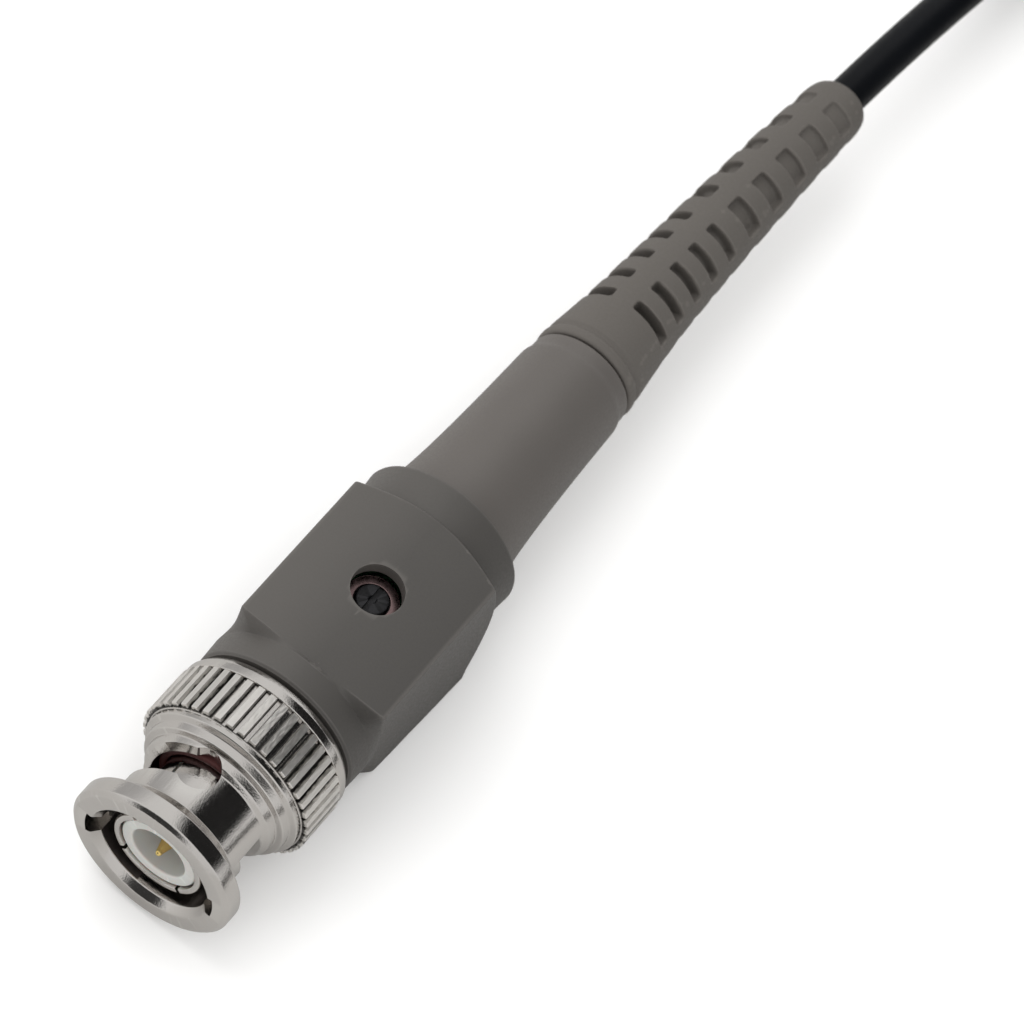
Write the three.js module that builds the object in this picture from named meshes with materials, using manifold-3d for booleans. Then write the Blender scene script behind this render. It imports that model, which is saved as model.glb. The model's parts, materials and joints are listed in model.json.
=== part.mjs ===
// Oscilloscope probe: bayonet coaxial plug, compensation box with a trimmer, slotted strain
// relief, 1.2 m of cable in a loose coil, and a switchable probe head with a sprung hook tip
// and a ground lead.
//
// Millimetres, +Z up. The origin is the centre of the flat underside of the compensation box.
// The plug's mouth faces -Y and its cable leaves towards +Y. Along the plug, a "station" is the
// distance behind the plug's front face. Along the probe head, a "reach" is the distance behind
// the tip of the hook.

import * as THREE from 'three';
import { mergeVertices } from 'three/addons/utils/BufferGeometryUtils.js';
import Module from 'manifold-3d';

// ---------------------------------------------------------------- driving dimensions

const BOX_HALF = 7.0;              // half height of the compensation box
const BOX_TOP_HALF_WIDTH = 6.85;   // the sides lean outwards a little towards the underside
const UNDER_FRONT_HALF_WIDTH = 7.35; // half width of the underside where the top flat begins
const UNDER_REAR_HALF_WIDTH = 8.15;  // and where it ends
const BOX_FRONT = 15.3;            // station of the box's front end
const COLLAR_REAR = 17.6;          // station where the round front collar ends
const FLAT_FRONT = 18.0;           // station where the top flat begins
const FRONT_SLANT = 3.0;           // how much further back the underside begins
const FLAT_REAR = 34.3;            // station where the flats end, on their centre line
const BOX_REAR = 37.6;             // station of the rear end of the box's collar
const BOX_CENTRE = 25.3;           // station of the origin
const BOX_WALL = 1.2;
const TRIMMER_STATION = 26.3;
const TRIMMER_HOLE = 2.16;         // radius of the adjustment hole

const FLANGE_RADIUS = 7.25;        // front flange of the coupling nut
const KNURL_RADIUS = 7.7;
const KNURL_COUNT = 44;
const KNURL_FRONT = 9.35;
const KNURL_REAR = 13.5;
const NUT_LENGTH = 14.9;
const NUT_BORE = 4.9;
const WAIST_RADIUS = 5.45;
const DETENT_ANGLE = -13;          // degrees from the top towards +X, where a bayonet slot ends
const SLOT_SWEEP = 97;             // length of a bayonet slot, in degrees
const CAM_LEAD = 0.011;            // how far a bayonet slot moves back in each degree
const DETENT_RADIUS = 1.65;        // round hole at the end of a bayonet slot
const DETENT_STATION = 6.15;
const NOTCH_ANGLE = DETENT_ANGLE - 86;

const NECK_REAR = 57.2;            // station of the end of the neck sleeve
const RELIEF_REAR = 96.0;          // station of the end of the strain relief
const RIB_ANGLE = -17;             // degrees from the top, the middle of one rib between slot rows
const CABLE_RADIUS = 1.75;
const CABLE_BORE = 1.9;            // bore of everything the jacket passes through

const TABLE = -0.75;               // height of the surface that the probe lies on
const COIL_CENTRE = { x: 54, y: 135 };
const COIL_RADIUS = 46;
const COIL_TURNS = 3.5;
const COIL_PITCH = 3.75;
const COIL_WANDER = 1.1;           // how far a turn strays from a true circle

const HEAD_X = 94;
const HEAD_TIP_Y = -52;
const GUARD_RADIUS = 8.0;          // finger guard of the probe head
const SWITCH_REACH = 68.5;         // where the range switch's knob starts
const SWITCH_LENGTH = 7.5;
const SWITCH_TRAVEL = 3.5;
const SWITCH_PLAY = 0.5;           // gap between the knob and each end of its window

const LEAD_REACH = 44.5;           // where the ring clip sits on the ground barrel
const CLIP_X = 20;                 // the clip lies beside the head
const CLIP_REACH = 115.2;          // reach of the clip's wire end
const PIVOT = { y: 12, z: 4 };     // the jaws' pin, from the clip's wire end and from its underside

const AXIS_Z = BOX_HALF;
const HEAD_Z = TABLE + GUARD_RADIUS;
const CLIP_FLOOR = TABLE - HEAD_Z + 0.05;
const BOOT_Z = CLIP_FLOOR + 2.4;   // centre of the clip's boot
const FULL_TURN = 2 * Math.PI;
const WELD = 1e-4;

const wasm = await Module();
wasm.setup();

// ---------------------------------------------------------------- solids and booleans

function signedVolume(positions, index) {
  const a = new THREE.Vector3();
  const b = new THREE.Vector3();
  const c = new THREE.Vector3();
  let total = 0;
  for (let i = 0; i < index.length; i += 3) {
    a.fromArray(positions, 3 * index[i]);
    b.fromArray(positions, 3 * index[i + 1]);
    c.fromArray(positions, 3 * index[i + 2]);
    total += a.dot(b.cross(c)) / 6;
  }
  return total;
}

// A closed three.js geometry as a solid: vertices merged, faces turned outwards.
function solid(geometry) {
  const bare = geometry.clone();
  bare.deleteAttribute('normal');
  bare.deleteAttribute('uv');
  const merged = mergeVertices(bare, WELD);
  const positions = merged.getAttribute('position').array;
  const corners = merged.index.array;
  const index = [];
  for (let i = 0; i < corners.length; i += 3) {
    const [a, b, c] = [corners[i], corners[i + 1], corners[i + 2]];
    if (a !== b && b !== c && c !== a) index.push(a, b, c);
  }
  if (signedVolume(positions, index) < 0) index.reverse();
  const mesh = new wasm.Mesh({
    numProp: 3,
    vertProperties: Float32Array.from(positions),
    triVerts: Uint32Array.from(index),
  });
  mesh.merge();
  return new wasm.Manifold(mesh);
}

function union(first, ...others) {
  return others.reduce((sum, other) => sum.add(other), first);
}

function cut(base, ...tools) {
  return tools.reduce((rest, tool) => rest.subtract(tool), base);
}

function geometryOf(manifold) {
  const { vertProperties, triVerts } = manifold.getMesh();
  const geometry = new THREE.BufferGeometry();
  geometry.setAttribute('position', new THREE.BufferAttribute(Float32Array.from(vertProperties), 3));
  geometry.setIndex(new THREE.BufferAttribute(Uint32Array.from(triVerts), 1));
  geometry.computeVertexNormals();
  return geometry;
}

// ---------------------------------------------------------------- shapes

// A turned piece about the Y axis, from [distance along Y, radius] points. An outline that
// leaves the axis is closed on itself.
function turnedGeometry(outline, segments = 20) {
  const points = outline.map(([along, radius]) => new THREE.Vector2(radius, along));
  const onAxis = points[0].x === 0 && points[points.length - 1].x === 0;
  if (!onAxis) points.push(points[0].clone());
  return new THREE.LatheGeometry(points, segments);
}

function turned(outline, segments) {
  return solid(turnedGeometry(outline, segments));
}

function tube(from, to, outer, inner, segments) {
  return turned([[from, inner], [from, outer], [to, outer], [to, inner]], segments);
}

function rod(from, to, radius, segments = 16) {
  return turned([[from, 0], [from, radius], [to, radius], [to, 0]], segments);
}

function block(width, length, height, x, y, z) {
  return solid(new THREE.BoxGeometry(width, length, height).translate(x, y, z));
}

// A round bar along Z.
function post(radius, bottom, top, x, y, segments = 24) {
  const bar = new THREE.CylinderGeometry(radius, radius, top - bottom, segments);
  return solid(bar.rotateX(Math.PI / 2).translate(x, y, (bottom + top) / 2));
}

// A sector of a ring about the Y axis. Angles are degrees from +Z towards +X.
function ringSectorGeometry(inner, outer, fromAngle, toAngle, from, to, steps) {
  const shape = new THREE.Shape();
  const start = Math.PI / 2 - THREE.MathUtils.degToRad(fromAngle);
  const end = Math.PI / 2 - THREE.MathUtils.degToRad(toAngle);
  shape.absarc(0, 0, outer, start, end, true);
  shape.absarc(0, 0, inner, end, start, false);
  const slab = new THREE.ExtrudeGeometry(shape, {
    depth: to - from, bevelEnabled: false, curveSegments: steps,
  });
  return slab.rotateX(Math.PI / 2).translate(0, to, 0);
}

function ringSector(inner, outer, fromAngle, toAngle, from, to, steps = 10) {
  return solid(ringSectorGeometry(inner, outer, fromAngle, toAngle, from, to, steps));
}

function polygon(radius, sides) {
  const points = [];
  for (let i = 0; i < sides; i += 1) {
    const angle = (i / sides) * FULL_TURN;
    points.push(new THREE.Vector2(radius * Math.cos(angle), radius * Math.sin(angle)));
  }
  return new THREE.Shape(points);
}

// A round bar along a curve.
function wire(curve, radius, sides, steps) {
  return solid(new THREE.ExtrudeGeometry(polygon(radius, sides), {
    steps, bevelEnabled: false, extrudePath: curve,
  }));
}

function smoothCurve(points) {
  const curve = new THREE.CatmullRomCurve3(points, false, 'centripetal');
  curve.arcLengthDivisions = 2000;
  return curve;
}

function helixCurve(radius, from, to, turns, pointsPerTurn = 12) {
  const points = [];
  const count = Math.round(turns * pointsPerTurn);
  for (let i = 0; i <= count; i += 1) {
    const angle = (i / pointsPerTurn) * FULL_TURN;
    const along = from + ((to - from) * i) / count;
    points.push(new THREE.Vector3(radius * Math.cos(angle), along, radius * Math.sin(angle)));
  }
  return smoothCurve(points);
}

// A side outline of [y, z] points, given a thickness along X and centred on it.
function sidePlate(outline, thickness, x = 0) {
  const shape = new THREE.Shape(outline.map(([y, z]) => new THREE.Vector2(y, z)));
  const slab = new THREE.ExtrudeGeometry(shape, { depth: thickness, bevelEnabled: false });
  const axes = new THREE.Matrix4().makeBasis(
    new THREE.Vector3(0, 1, 0), new THREE.Vector3(0, 0, 1), new THREE.Vector3(1, 0, 0),
  );
  return solid(slab.applyMatrix4(axes).translate(x - thickness / 2, 0, 0));
}

// ---------------------------------------------------------------- materials

const finish = {
  nickel: { color: 0xc9c5be, roughness: 0.22, metalness: 1 },
  springSteel: { color: 0x9a9a98, roughness: 0.35, metalness: 1 },
  gold: { color: 0xd9a441, roughness: 0.2, metalness: 1 },
  copper: { color: 0xa0654a, roughness: 0.35, metalness: 1 },
  tinned: { color: 0xb9b9b4, roughness: 0.4, metalness: 1 },
  fluoropolymer: { color: 0xe4e6ea, roughness: 0.4, metalness: 0 },
  silicone: { color: 0x7c2f28, roughness: 0.7, metalness: 0 },
  boxPlastic: { color: 0x605d59, roughness: 0.62, metalness: 0 },
  neckPlastic: { color: 0x706b66, roughness: 0.66, metalness: 0 },
  reliefRubber: { color: 0x6a655f, roughness: 0.8, metalness: 0 },
  blackPlastic: { color: 0x1b1c1e, roughness: 0.5, metalness: 0 },
  cableVinyl: { color: 0x101114, roughness: 0.45, metalness: 0 },
  laminate: { color: 0x2f5d3a, roughness: 0.55, metalness: 0 },
  ceramic: { color: 0xb98b5a, roughness: 0.5, metalness: 0 },
};

function addPart(group, name, manifold, look) {
  const mesh = new THREE.Mesh(geometryOf(manifold), new THREE.MeshStandardMaterial(finish[look]));
  mesh.name = name;
  group.add(mesh);
}

// ---------------------------------------------------------------- bayonet plug

function knurledBand() {
  const shape = new THREE.Shape();
  const pitch = FULL_TURN / KNURL_COUNT;
  const root = KNURL_RADIUS - 0.4;
  const corners = [[0, root], [0.14, KNURL_RADIUS], [0.56, KNURL_RADIUS], [0.7, root]];
  for (let i = 0; i < KNURL_COUNT; i += 1) {
    for (const [fraction, radius] of corners) {
      const angle = (i + fraction) * pitch;
      const x = radius * Math.cos(angle);
      const y = radius * Math.sin(angle);
      if (shape.curves.length === 0 && i === 0 && fraction === 0) shape.moveTo(x, y);
      else shape.lineTo(x, y);
    }
  }
  shape.closePath();
  const slab = new THREE.ExtrudeGeometry(shape, { depth: KNURL_REAR - KNURL_FRONT, bevelEnabled: false });
  return solid(slab.rotateX(Math.PI / 2).translate(0, KNURL_REAR, 0));
}

// Slot through the nut's wall that moves back as it nears the detent.
function camSlot(detent) {
  const cam = ringSectorGeometry(4.5, 6.6, detent - SLOT_SWEEP, detent, 5.05, 7.5, 12);
  const position = cam.getAttribute('position');
  for (let i = 0; i < position.count; i += 1) {
    const [x, z] = [position.getX(i), position.getZ(i)];
    const angle = THREE.MathUtils.radToDeg(Math.atan2(x, z)) - detent;
    const behind = THREE.MathUtils.euclideanModulo(180 - angle, 360) - 180;
    position.setY(i, position.getY(i) - CAM_LEAD * Math.max(0, behind));
  }
  return solid(cam);
}

// Tools for one of the two bayonet slots: mouth notch, inner groove, cam slot and detent hole.
function bayonetSlot(turn) {
  const notch = NOTCH_ANGLE + turn;
  const detent = DETENT_ANGLE + turn;
  const mouth = ringSector(4.5, 5.9, notch - 12, notch + 12, -0.5, 1.95, 3);
  const groove = ringSector(4.5, 5.15, notch - 11, notch + 11, 1.5, 6.0, 3);
  const hole = new THREE.CylinderGeometry(DETENT_RADIUS, DETENT_RADIUS, 2.4, 20);
  hole.rotateX(Math.PI / 2).translate(0, DETENT_STATION, 5.6).rotateY(THREE.MathUtils.degToRad(detent));
  return [mouth, groove, camSlot(detent), solid(hole)];
}

function couplingNut() {
  const outline = [
    [0, 5.5], [0, 6.9], [0.35, FLANGE_RADIUS], [1.7, FLANGE_RADIUS], [2.2, 6.0],
    [3.0, WAIST_RADIUS], [6.8, WAIST_RADIUS], [7.1, 5.85], [7.8, 5.95], [7.9, 6.5],
    [8.6, 6.6], [8.8, 7.1], [KNURL_REAR, 7.2], [13.6, 7.6], [14.3, 7.6], [NUT_LENGTH, 7.25],
    [NUT_LENGTH, 5.6], [12.2, 5.6], [12.2, 4.15], [10.8, 4.15], [10.8, NUT_BORE], [0.6, NUT_BORE],
  ];
  const body = union(turned(outline, KNURL_COUNT), cut(knurledBand(), rod(9, 14, 7.1, KNURL_COUNT)));
  return cut(body, ...bayonetSlot(0), ...bayonetSlot(180));
}

// The washer is a flat ring bent into three waves.
function waveWasher() {
  const geometry = turnedGeometry([[9.8, 4.1], [9.8, 4.75], [10.0, 4.75], [10.0, 4.1]], 36);
  const position = geometry.getAttribute('position');
  for (let i = 0; i < position.count; i += 1) {
    const angle = Math.atan2(position.getZ(i), position.getX(i));
    position.setY(i, position.getY(i) + 0.25 * Math.sin(3 * angle));
  }
  return solid(geometry);
}

function plugBody() {
  return turned([
    [8.4, 3.6], [8.4, 4.75], [9.4, 4.75], [9.4, 3.95], [22, 3.95], [22, 2.6], [12.1, 2.6], [12.1, 3.6],
  ]);
}

function outerContact() {
  const sleeve = turned([
    [1.0, 3.5], [1.0, 3.95], [1.2, 4.05], [8.3, 4.05], [8.3, 3.52], [12, 3.52], [12, 3.2], [8, 3.2], [8, 3.5],
  ]);
  const slits = [45, 135].map((angle) => {
    const slit = new THREE.BoxGeometry(0.35, 6, 12).translate(0, 3.9, 0);
    return solid(slit.rotateY(THREE.MathUtils.degToRad(angle)));
  });
  return cut(sleeve, ...slits);
}

function insulator() {
  return turned([
    [1.2, 2.4], [1.2, 3.3], [1.35, 3.42], [7.9, 3.42], [7.9, 3.1], [11.7, 3.1], [11.8, 2.5], [19, 2.5],
    [19, 0.76], [5.5, 0.76], [5.5, 2.4],
  ]);
}

function centrePin() {
  return turned([
    [1.05, 0], [1.08, 0.16], [1.25, 0.27], [1.45, 0.29], [2.5, 0.6], [2.9, 0.675], [16, 0.675],
    [16, 0.5], [20.5, 0.5], [20.5, 0],
  ], 16);
}

function addPlug(group) {
  addPart(group, 'coupling_nut', couplingNut(), 'nickel');
  addPart(group, 'spring_washer', waveWasher(), 'springSteel');
  addPart(group, 'thrust_washer', tube(10.35, 10.7, 4.8, 4.1), 'springSteel');
  addPart(group, 'plug_gasket', tube(7.4, 8.3, 4.75, 4.15), 'silicone');
  addPart(group, 'plug_body', plugBody(), 'nickel');
  addPart(group, 'outer_contact', outerContact(), 'nickel');
  addPart(group, 'plug_insulator', insulator(), 'fluoropolymer');
  addPart(group, 'centre_pin', centrePin(), 'gold');
}

// ---------------------------------------------------------------- compensation box

// Point of the box's four-sided outline at a station that lies in the direction of x and z.
function sectionPoint(x, z, station) {
  const along = (station - FLAT_FRONT) / (FLAT_REAR - FLAT_FRONT);
  const underHalfWidth = THREE.MathUtils.lerp(UNDER_FRONT_HALF_WIDTH, UNDER_REAR_HALF_WIDTH, along);
  const lean = (underHalfWidth - BOX_TOP_HALF_WIDTH) / (2 * BOX_HALF);
  const middle = (underHalfWidth + BOX_TOP_HALF_WIDTH) / 2;
  if (Math.abs(Math.abs(x) - Math.abs(z)) < 1e-3) {
    const halfWidth = z > 0 ? BOX_TOP_HALF_WIDTH : underHalfWidth;
    return [Math.sign(x) * halfWidth, Math.sign(z) * BOX_HALF];
  }
  const sideways = Math.abs(x) + z * lean;
  const toSide = sideways > 0 ? middle / sideways : Infinity;
  const reach = Math.min(toSide, BOX_HALF / Math.abs(z));
  return [x * reach, z * reach];
}

// The box is turned at both ends and four-sided in between.
function boxBlank() {
  const geometry = turnedGeometry([
    [BOX_FRONT, 0], [BOX_FRONT, 7.1], [BOX_FRONT + 0.2, 7.35], [COLLAR_REAR, 7.4],
    [FLAT_FRONT, 1], [35.2, 1], [35.2, 0],
  ], 48);
  const position = geometry.getAttribute('position');
  for (let i = 0; i < position.count; i += 1) {
    const [x, y, z] = [position.getX(i), position.getY(i), position.getZ(i)];
    const radius = Math.hypot(x, z);
    if (y > FLAT_FRONT - 0.01 && radius > 0.5) {
      const height = sectionPoint(x / radius, z / radius, y)[1];
      const atFront = y < FLAT_FRONT + 0.01;
      const station = y + (atFront ? FRONT_SLANT * (BOX_HALF - height) / (2 * BOX_HALF) : 0);
      const [sideX, sideZ] = sectionPoint(x / radius, z / radius, station);
      position.setXYZ(i, sideX, station, sideZ);
    }
  }
  return solid(geometry);
}

// Cone that rounds off the rear corners of the flats, like the chamfer of a nut.
function rearChamfer() {
  const cornerRadius = Math.hypot(BOX_HALF, BOX_TOP_HALF_WIDTH);
  const cornerStation = FLAT_REAR - 1.7;
  return turned([
    [BOX_FRONT - 1, 0], [BOX_FRONT - 1, 11], [cornerStation - 0.2, 11], [cornerStation, cornerRadius],
    [FLAT_REAR, BOX_HALF], [FLAT_REAR + 0.25, 6.5], [FLAT_REAR + 0.25, 0],
  ], 48);
}

function boxShell() {
  const inner = BOX_HALF - BOX_WALL;
  const outside = union(
    boxBlank().intersect(rearChamfer()),
    turned([
      [30, 0], [30, 6.8], [FLAT_REAR - 0.3, 6.85], [BOX_REAR - 0.3, 7.15], [BOX_REAR, 6.85], [BOX_REAR, 0],
    ], 48),
  );
  const cavityLength = 14.2;
  return cut(
    outside,
    block(2 * inner, cavityLength, 2 * inner, 0, 19.6 + cavityLength / 2, 0),
    rod(BOX_FRONT - 1, 20, 4.05, 24),
    rod(33, BOX_REAR + 1, 5.6, 24),
    post(TRIMMER_HOLE, 3, 8, 0, TRIMMER_STATION, 28),
  );
}

function shieldCan() {
  const half = BOX_HALF - BOX_WALL - 0.15;
  const length = 13.6;
  const middle = 19.9 + length / 2;
  const thick = 0.35;
  return cut(
    block(2 * half, length, 2 * half, 0, middle, 0),
    block(2 * (half - thick), length + 1, 2 * (half - thick), 0, middle, 0),
    post(2.6, 4, 7, 0, TRIMMER_STATION),
  );
}

function retainingNut() {
  const hexagon = new THREE.CylinderGeometry(5.0, 5.0, 1.6, 6).translate(0, 20.9, 0);
  return cut(solid(hexagon), rod(19, 23, 4.05, 32));
}

// A disc with a socket for the rotor, open at the top.
function trimmerRing(outer, inner, bottom, top) {
  const socket = post(inner, Math.max(bottom - 1, 3.8), top + 1, 0, TRIMMER_STATION);
  return cut(post(outer, bottom, top, 0, TRIMMER_STATION), socket);
}

function trimmerRotor() {
  const bar = post(1.3, 3.9, 5.35, 0, TRIMMER_STATION);
  return cut(bar, block(0.45, 3, 1.0, 0, TRIMMER_STATION, 5.4));
}

function addBox(group) {
  addPart(group, 'box_shell', boxShell(), 'boxPlastic');
  addPart(group, 'shield_can', shieldCan(), 'tinned');
  addPart(group, 'retaining_nut', retainingNut(), 'nickel');
  addPart(group, 'circuit_board', block(9.6, 9.6, 0.8, 0, 28.0, 1.15), 'laminate');
  addPart(group, 'trimmer_base', trimmerRing(2.25, 1.38, 1.65, 4.75), 'blackPlastic');
  addPart(group, 'trimmer_plate', trimmerRing(2.2, 1.45, 4.8, 5.05), 'copper');
  addPart(group, 'trimmer_rotor', trimmerRotor(), 'blackPlastic');
  addPart(group, 'load_resistor', rod(24.5, 29.5, 0.85, 12).translate(-3.2, 0, -0.2), 'ceramic');
  addPart(group, 'shaping_capacitor', block(3.2, 3.4, 2.2, 3.0, 27, -0.45), 'ceramic');
}

// ---------------------------------------------------------------- neck, relief and cable

// Sideways drift of the cable's centre line, which starts to bend inside the relief.
function cableDrift(station) {
  return Math.max(0, station - 62) ** 2 / 1130;
}

function bendWithCable(geometry) {
  const position = geometry.getAttribute('position');
  for (let i = 0; i < position.count; i += 1) {
    position.setX(i, position.getX(i) + cableDrift(position.getY(i)));
  }
  return geometry;
}

function neckSleeve() {
  return turned([
    [33.6, 3.4], [33.6, 5.5], [BOX_REAR + 0.05, 5.5], [BOX_REAR + 0.05, 5.95], [39, 5.75], [42, 5.45],
    [46, 5.22], [50, 5.06], [55.4, 4.92], [56.0, 4.7], [NECK_REAR, 4.66], [NECK_REAR, 3.4],
  ]);
}

function reliefBlank() {
  const outside = [[NECK_REAR + 0.2, 4.6], [57.7, 4.78], [58.3, 4.76], [58.4, 4.5], [58.8, 4.5],
    [59, 4.66], [62, 4.32], [66, 3.97], [72, 3.7], [78, 3.48], [84, 3.28], [90, 3.08], [94.6, 2.9], [95.5, 2.7], [RELIEF_REAR, 2.3]];
  const inside = [RELIEF_REAR, 90, 80, 70, 50].map((station) => [station, CABLE_BORE]);
  const spigot = [[50, 3.3], [NECK_REAR + 0.2, 3.3]];
  return solid(bendWithCable(turnedGeometry([...outside, ...inside, ...spigot])));
}

// One row has five narrow slits and then five wider, shallower pockets.
function reliefSlotRow() {
  const slots = [];
  for (let i = 0; i < 5; i += 1) slots.push({ station: 63.5 + 2.75 * i, width: 1.05, floor: 2.5 });
  for (let i = 0; i < 5; i += 1) slots.push({ station: 78.1 + 3.6 * i, width: 1.7, floor: 2.4 });
  return slots;
}

function strainRelief() {
  const tools = [];
  for (const { station, width, floor } of reliefSlotRow()) {
    for (let row = 0; row < 4; row += 1) {
      const middle = RIB_ANGLE + 45 + 90 * row;
      const half = width / 2;
      const sector = ringSector(floor, 6, middle - 30, middle + 30, station - half, station + half, 2);
      tools.push(sector.translate(cableDrift(station), 0, 0));
    }
  }
  return cut(reliefBlank(), ...tools);
}

// Centre line of the whole cable, in the plug's frame of stations.
function cableCurve() {
  const points = [];
  const coilZ = TABLE + CABLE_RADIUS + 0.02 - AXIS_Z;
  const coilStation = COIL_CENTRE.y + BOX_CENTRE;
  for (const station of [38, 50, 62, 72, 82, 90, 98, 104, 110, 116]) {
    const fall = THREE.MathUtils.smoothstep(station, RELIEF_REAR, coilStation);
    points.push(new THREE.Vector3(cableDrift(station), station, coilZ * fall));
  }
  points.push(new THREE.Vector3(4.3, 131, coilZ * 0.7), new THREE.Vector3(6.9, 146, coilZ * 0.96));
  const steps = COIL_TURNS * 12;
  for (let i = 0; i <= steps; i += 1) {
    const angle = (i / 12) * FULL_TURN;
    const radius = COIL_RADIUS + COIL_WANDER * Math.sin(0.37 * angle);
    const x = COIL_CENTRE.x - radius * Math.cos(angle);
    const y = coilStation + radius * Math.sin(angle);
    points.push(new THREE.Vector3(x, y, coilZ + (COIL_PITCH * i) / 12));
  }
  const headZ = HEAD_Z - AXIS_Z;
  const top = coilZ + COIL_PITCH * COIL_TURNS;
  const headY = HEAD_TIP_Y + BOX_CENTRE;
  points.push(
    new THREE.Vector3(HEAD_X + 6.6, coilStation - 18, top - 0.3),
    new THREE.Vector3(HEAD_X + 5, coilStation - 36, top - 3.4),
    new THREE.Vector3(HEAD_X + 1.6, coilStation - 54, headZ + 1.2),
    new THREE.Vector3(HEAD_X, headY + 118, headZ),
    new THREE.Vector3(HEAD_X, headY + 108, headZ),
    new THREE.Vector3(HEAD_X, headY + 94, headZ),
  );
  return smoothCurve(points);
}

function addCableEnd(group) {
  addPart(group, 'neck_sleeve', neckSleeve(), 'neckPlastic');
  addPart(group, 'strain_relief', strainRelief(), 'reliefRubber');
  addPart(group, 'crimp_ferrule', tube(36.5, 45, 2.6, 2.05, 16), 'nickel');
  addPart(group, 'cable_jacket', wire(cableCurve(), CABLE_RADIUS, 8, 124), 'cableVinyl');
  addPart(group, 'cable_braid', tube(34.2, 37.9, 1.35, 1.05, 16), 'copper');
  addPart(group, 'cable_dielectric', tube(33.4, 37.9, 0.95, 0.35, 12), 'fluoropolymer');
  addPart(group, 'cable_core', rod(30.5, 37.9, 0.25, 10), 'copper');
}

// ---------------------------------------------------------------- probe head

function headBarrel() {
  const outside = turned([
    [47.6, 3.5], [47.6, 4.3], [49.4, 4.9], [49.9, 7.6], [50.3, GUARD_RADIUS], [51.5, GUARD_RADIUS],
    [52.0, 7.6], [53.4, 5.6], [58, 5.3], [66, 5.9], [82, 6.2], [92, 5.9], [97, 5.2], [97, 4.6],
    [52.2, 4.6], [52.2, 3.5],
  ], 28);
    const length = SWITCH_LENGTH + SWITCH_TRAVEL + 2 * SWITCH_PLAY;
  return cut(outside, block(5.0, length, 6, 0, SWITCH_REACH - SWITCH_PLAY + length / 2, 6));
}

function rangeSwitch() {
  const middle = SWITCH_REACH + SWITCH_LENGTH / 2;
  const plate = block(4.4, SWITCH_LENGTH + 2, 0.8, 0, middle + 0.75, 3.3);
  const knob = block(4.4, SWITCH_LENGTH, 3.2, 0, middle, 5.25);
  const grooves = [-2.35, -0.85, 0.65, 2.15].map((offset) => block(5, 0.5, 0.8, 0, middle + offset, 6.8));
  return cut(union(plate, knob), ...grooves);
}

function switchWiper() {
  return sidePlate([[70, 2.8], [70, 2.6], [71.2, 2.5], [73, 1.2], [74.8, 2.5], [76, 2.6], [76, 2.8],
    [74.7, 2.7], [73, 1.4], [71.3, 2.7]], 1.6);
}

function headRelief() {
  const outline = [[92.4, CABLE_BORE], [92.4, 4.5], [97.1, 4.5], [97.1, 5.2], [99, 5.2]];
  const rings = 5;
  for (let i = 0; i < rings; i += 1) {
    const reach = 99.8 + 3.5 * i;
    const radius = 4.7 - 0.4 * i;
    outline.push([reach, radius - 0.7], [reach + 1.2, radius - 0.75]);
    outline.push([reach + 1.2, radius], [reach + 3.3, radius - 0.2]);
  }
  outline.push([118, 2.6], [118, CABLE_BORE]);
  return turned(outline, 20);
}

function noseCone() {
  return turned([
    [33, 0.62], [33, 1.7], [33.4, 1.9], [40.5, 1.9], [40.5, 2.5], [52, 2.5], [52, 0.62],
  ], 24);
}

function probeNeedle() {
  return turned([[24.8, 0], [26.2, 0.3], [30, 0.55], [53.6, 0.55], [53.6, 0]], 12);
}

function addHead(group) {
  addPart(group, 'head_barrel', headBarrel(), 'boxPlastic');
  addPart(group, 'range_switch', rangeSwitch(), 'blackPlastic');
  addPart(group, 'switch_wiper', switchWiper(), 'gold');
  addPart(group, 'head_board', block(7.4, 36, 0.8, 0, 73, 0.4), 'laminate');
  addPart(group, 'attenuator_resistor', rod(57, 63.5, 0.9, 12).translate(-1.6, 0, 1.8), 'ceramic');
  addPart(group, 'attenuator_capacitor', block(2.2, 3.2, 1.3, 1.9, 61, 1.5), 'ceramic');
  addPart(group, 'head_strain_relief', headRelief(), 'reliefRubber');
  addPart(group, 'nose_cone', noseCone(), 'blackPlastic');
  addPart(group, 'probe_needle', probeNeedle(), 'gold');
  addPart(group, 'ground_barrel', tube(41.2, 51.8, 3.3, 2.58), 'nickel');
}

// ---------------------------------------------------------------- hook tip

function hookBody() {
  return turned([
    [14.2, 0.8], [14.2, 2.1], [14.4, 2.2], [30, 2.2], [30, 3.6], [39.6, 3.6], [40, 3.3], [40, 2.0],
    [31.5, 2.0], [31.5, 0.8],
  ], 20);
}

function hookSleeve() {
  return turned([
    [2.4, 2.45], [2.4, 2.9], [3.2, 3.3], [12, 3.9], [18, 4.5], [24.8, 4.6], [25.6, 6.0], [27.4, 6.2],
    [28, 5.9], [28.4, 4.9], [29.2, 4.7], [29.2, 3.85], [14.6, 3.85], [14.2, 2.45],
  ], 24);
}

function hookWire() {
  const curve = smoothCurve([
    new THREE.Vector3(0, 24.2, 0), new THREE.Vector3(0, 16, 0), new THREE.Vector3(0, 8, 0),
    new THREE.Vector3(0, 3.4, -0.6), new THREE.Vector3(0, 1.0, -0.3), new THREE.Vector3(0, 0.9, 0.9),
    new THREE.Vector3(0, 2.6, 1.5), new THREE.Vector3(0, 4.2, 1.4),
  ]);
  return wire(curve, 0.45, 8, 26);
}

function addHook(group) {
  addPart(group, 'hook_body', hookBody(), 'blackPlastic');
  addPart(group, 'hook_sleeve', hookSleeve(), 'boxPlastic');
  addPart(group, 'hook_wire', hookWire(), 'nickel');
  addPart(group, 'hook_spring', wire(helixCurve(2.95, 15, 29.4, 6), 0.25, 4, 54), 'springSteel');
}

// ---------------------------------------------------------------- ground lead

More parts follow.
